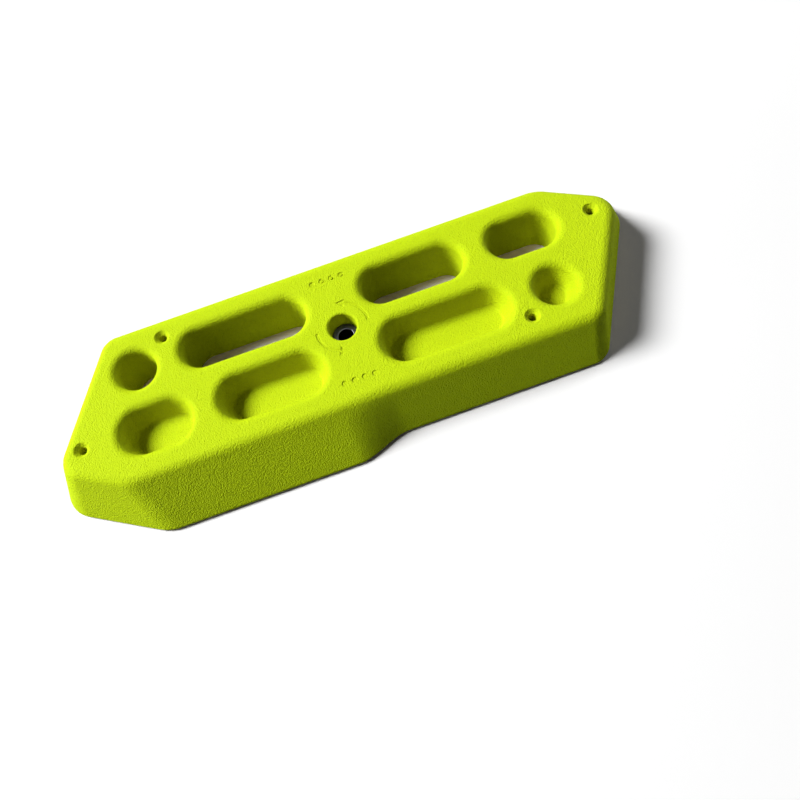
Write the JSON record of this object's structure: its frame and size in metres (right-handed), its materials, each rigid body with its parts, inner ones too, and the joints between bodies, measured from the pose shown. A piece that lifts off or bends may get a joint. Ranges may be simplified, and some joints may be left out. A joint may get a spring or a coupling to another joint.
{
  "type": "climbing hangboard",
  "caption": "Cast resin climbing hangboard with open and closed finger pockets and a two-angle sloper edge, turned about a bushed centre bolt.",
  "frame": {"origin": "on the centre bolt's axis, at the flat back that lies on the wall", "axes": "+X along the board, +Y to the row of open pockets, +Z out of the face along the centre bolt"},
  "size_m": [0.4369, 0.1471, 0.036],
  "materials": {
    "cast_resin": "fine sand texture from the mould",
    "steel": "turned, zinc plated"
  },
  "bodies": {
    "pivot_bush": {"pivot_bush": "steel"},
    "board": {"board": "cast_resin"}
  },
  "joints": [
    {"name": "board_turn", "type": "hinge", "parent": "pivot_bush", "child": "board", "pos_m": [0, 0, 0], "axis": [0, 0, 1], "continuous": true}
  ]
}
